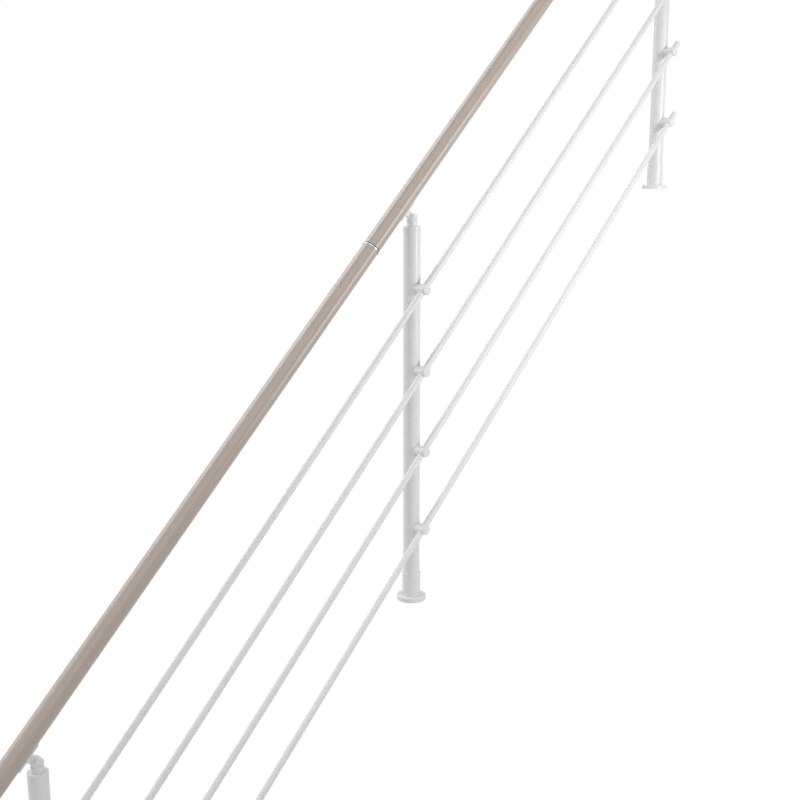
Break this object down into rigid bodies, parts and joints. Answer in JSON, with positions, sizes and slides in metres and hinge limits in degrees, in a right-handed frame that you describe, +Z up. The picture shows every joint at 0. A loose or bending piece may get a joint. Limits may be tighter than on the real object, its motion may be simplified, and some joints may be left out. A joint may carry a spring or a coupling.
{
  "type": "aluminium stair railing",
  "caption": "Sloping stair railing with round white aluminium posts on floor flanges, round rods in side holders and a round wooden handrail on tilting brackets.",
  "frame": {"origin": "centre of the lower post's fixing plate, on the tread it stands on", "axes": "+X up the stair, +Z up, rods on the -Y side of the posts"},
  "size_m": [2.413, 0.092, 3.2864],
  "materials": {
    "white_aluminium": "white powder coat, satin",
    "bare_aluminium": "bright turned",
    "handrail_wood": "limed beech, satin lacquer",
    "white_plastic": "moulded, satin"
  },
  "bodies": {
    "root": {"handrail_1": "handrail_wood", "handrail_2": "handrail_wood", "handrail_3": "handrail_wood", "handrail_cap_high_end": "white_aluminium", "handrail_cap_low_end": "white_aluminium", "handrail_ring_1": "bare_aluminium", "handrail_ring_2": "bare_aluminium", "lower_base_cover": "white_aluminium", "lower_base_plate": "bare_aluminium", "lower_base_sleeve": "white_aluminium", "lower_bracket_knuckle": "white_aluminium", "lower_bracket_saddle": "white_aluminium", "lower_post": "white_aluminium", "lower_post_cap": "white_aluminium", "lower_rod_holder_1": "white_aluminium", "lower_rod_holder_2": "white_aluminium", "lower_rod_holder_3": "white_aluminium", "lower_rod_holder_4": "white_aluminium", "middle_base_cover": "white_aluminium", "middle_base_plate": "bare_aluminium", "middle_base_sleeve": "white_aluminium", "middle_bracket_knuckle": "white_aluminium", "middle_bracket_saddle": "white_aluminium", "middle_post": "white_aluminium", "middle_post_cap": "white_aluminium", "middle_rod_holder_1": "white_aluminium", "middle_rod_holder_2": "white_aluminium", "middle_rod_holder_3": "white_aluminium", "middle_rod_holder_4": "white_aluminium", "rod_1": "white_aluminium", "rod_2": "white_aluminium", "rod_3": "white_aluminium", "rod_4": "white_aluminium", "rod_plugs_high_end": "white_plastic", "rod_plugs_low_end": "white_plastic", "upper_base_cover": "white_aluminium", "upper_base_plate": "bare_aluminium", "upper_base_sleeve": "white_aluminium", "upper_bracket_knuckle": "white_aluminium", "upper_bracket_saddle": "white_aluminium", "upper_post": "white_aluminium", "upper_post_cap": "white_aluminium", "upper_rod_holder_1": "white_aluminium", "upper_rod_holder_2": "white_aluminium", "upper_rod_holder_3": "white_aluminium", "upper_rod_holder_4": "white_aluminium"}
  },
  "joints": []
}
